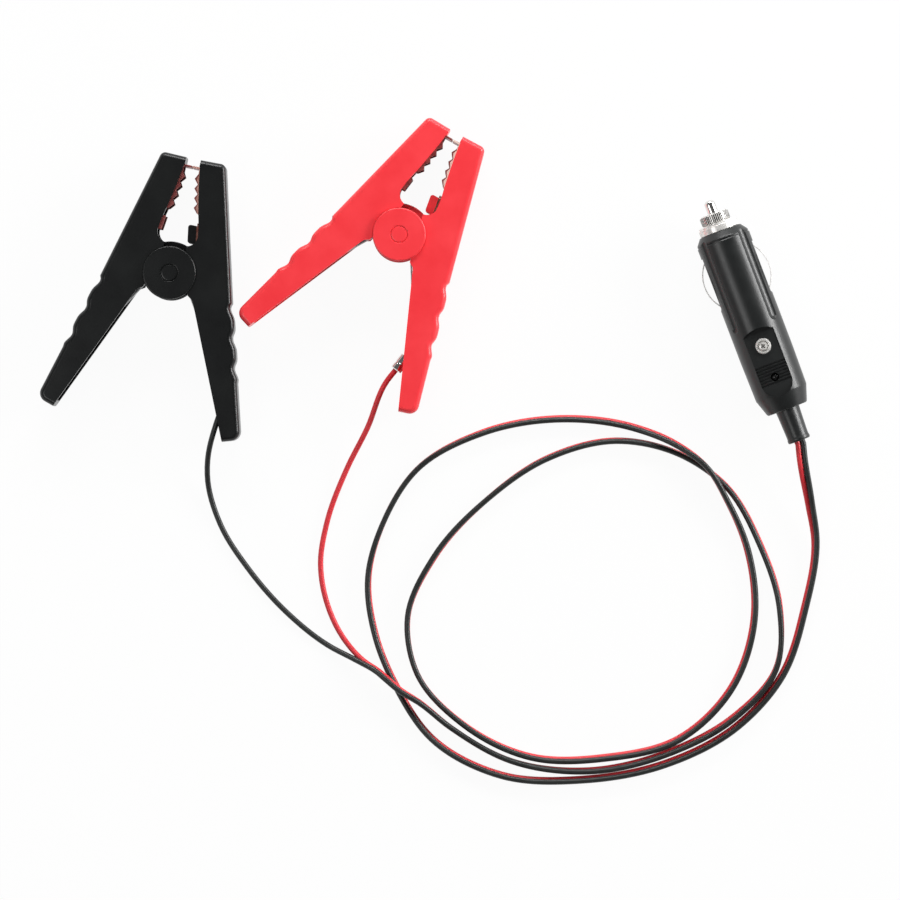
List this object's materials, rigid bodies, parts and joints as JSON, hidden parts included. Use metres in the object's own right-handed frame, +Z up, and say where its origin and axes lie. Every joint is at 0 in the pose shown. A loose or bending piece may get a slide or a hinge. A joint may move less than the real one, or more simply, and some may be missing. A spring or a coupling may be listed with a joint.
{
  "type": "battery clamp lead with lighter-socket plug",
  "caption": "Twin-core lead in loose loops, with a fused lighter-socket plug at one end and a red and a black sprung battery clamp on the two split cores at the other.",
  "frame": {"origin": "on the floor, under the middle of the box round the clamps and the plug", "axes": "+X runs from the clamps to the plug, +Y the way the jaws and the plug's tip point, +Z up"},
  "size_m": [0.2935, 0.2511, 0.0207],
  "materials": {
    "black_plastic": "satin",
    "red_plastic": "satin",
    "copper": "copper plated, satin",
    "nickel": "nickel plated",
    "spring_steel": "bright",
    "black_insulation": "satin soft vinyl",
    "red_insulation": "satin soft vinyl",
    "glass": "clear",
    "brass": "plain",
    "resistor_body": "matt",
    "lamp_lens": "clear lens, dark when off"
  },
  "bodies": {
    "lead": {"black_wire_lever": "black_plastic", "black_wire_jaw": "copper", "black_pivot_post": "black_plastic", "black_pivot_cap": "black_plastic", "black_spring": "spring_steel", "black_terminal": "nickel", "red_wire_lever": "red_plastic", "red_wire_jaw": "copper", "red_pivot_post": "red_plastic", "red_pivot_cap": "red_plastic", "red_spring": "spring_steel", "red_terminal": "nickel", "upper_shell": "black_plastic", "lower_shell": "black_plastic", "panel_screw": "nickel", "indicator_lamp": "lamp_lens", "lamp_resistor": "resistor_body", "front_ring": "nickel", "fuse_spring": "spring_steel", "spring_terminal": "brass", "strain_relief": "black_plastic", "plug_red_wire": "red_insulation", "plug_black_wire": "black_insulation", "twin_lead": "black_insulation", "red_tail": "red_insulation", "black_tail": "black_insulation"},
    "black_free_half": {"black_free_lever": "black_plastic", "black_free_jaw": "copper"},
    "red_free_half": {"red_free_lever": "red_plastic", "red_free_jaw": "copper"},
    "tip_and_fuse": {"centre_contact": "nickel", "fuse_glass": "glass", "fuse_caps": "nickel"},
    "screw_cap": {"screw_cap": "nickel"},
    "left_contact": {"left_contact": "nickel"},
    "right_contact": {"right_contact": "nickel"}
  },
  "joints": [
    {"name": "black_jaw_hinge", "type": "hinge", "parent": "lead", "child": "black_free_half", "pos_m": [-0.0962, 0.00312, 0.0103], "axis": [0, 0, 1], "range_deg": [0, 48], "stiffness_Nm_per_rad": 0.8, "springref_deg": -57.3, "deforming": ["black_spring"]},
    {"name": "red_jaw_hinge", "type": "hinge", "parent": "lead", "child": "red_free_half", "pos_m": [-0.0099, 0.01752, 0.0103], "axis": [0, 0, 1], "range_deg": [0, 48], "stiffness_Nm_per_rad": 0.8, "springref_deg": -57.3, "deforming": ["red_spring"]},
    {"name": "tip_press", "type": "slide", "parent": "lead", "child": "tip_and_fuse", "axis": [0.3551, -0.9348, 0], "range_m": [0, 0.0025], "stiffness_N_per_m": 600, "springref_m": -0.002, "deforming": ["fuse_spring"]},
    {"name": "cap_unscrew", "type": "hinge", "parent": "lead", "child": "screw_cap", "pos_m": [0.10656, 0.0306, 0.01035], "axis": [-0.3551, 0.9348, 0], "range_deg": [0, 720]},
    {"name": "left_contact_flex", "type": "slide", "parent": "lead", "child": "left_contact", "axis": [0.9325, 0.3542, 0.0698], "range_m": [0, 0.002], "stiffness_N_per_m": 1500, "springref_m": -0.0003},
    {"name": "right_contact_flex", "type": "slide", "parent": "lead", "child": "right_contact", "axis": [-0.9325, -0.3542, -0.0698], "range_m": [0, 0.002], "stiffness_N_per_m": 1500, "springref_m": -0.0003}
  ]
}
